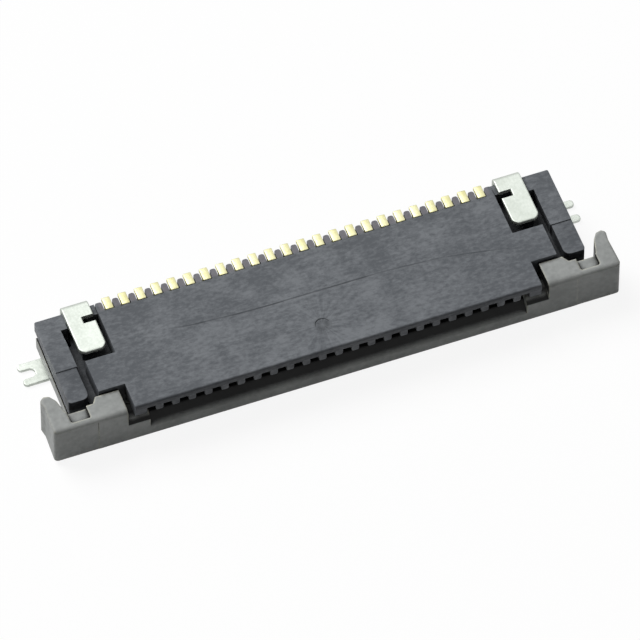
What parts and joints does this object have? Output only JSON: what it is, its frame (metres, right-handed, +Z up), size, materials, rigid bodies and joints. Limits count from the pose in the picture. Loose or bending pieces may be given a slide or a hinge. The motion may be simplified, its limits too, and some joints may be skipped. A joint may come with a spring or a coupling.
{
  "type": "fpc connector",
  "caption": "Flat flexible cable connector with a slide lock: dark housing, grey front slider, gold contact feet, solder plates and fork tabs at the ends.",
  "frame": {"origin": "middle of the bounding box on the bottom plane, with the slider closed", "axes": "+X along the row of contacts, -Y out of the cable mouth, +Z up through the solder side"},
  "size_m": [0.0174, 0.0042, 0.0017],
  "materials": {
    "housing_plastic": "fine moulded grain, dark blue-grey",
    "slider_plastic": "semi-matte grey",
    "gold": "gold-plated, satin",
    "tin": "matte tin plating"
  },
  "bodies": {
    "housing": {"housing": "housing_plastic", "contact_01": "gold", "contact_02": "gold", "contact_03": "gold", "contact_04": "gold", "contact_05": "gold", "contact_06": "gold", "contact_07": "gold", "contact_08": "gold", "contact_09": "gold", "contact_10": "gold", "contact_11": "gold", "contact_12": "gold", "contact_13": "gold", "contact_14": "gold", "contact_15": "gold", "contact_16": "gold", "contact_17": "gold", "contact_18": "gold", "contact_19": "gold", "contact_20": "gold", "contact_21": "gold", "contact_22": "gold", "contact_23": "gold", "contact_24": "gold", "solder_plate_left": "tin", "solder_plate_right": "tin", "fork_tab_left": "tin", "fork_tab_right": "tin"},
    "slider": {"slider": "slider_plastic"}
  },
  "joints": [
    {"name": "slider_slide", "type": "slide", "parent": "housing", "child": "slider", "axis": [0, -1, 0], "range_m": [0, 0.0008]}
  ]
}
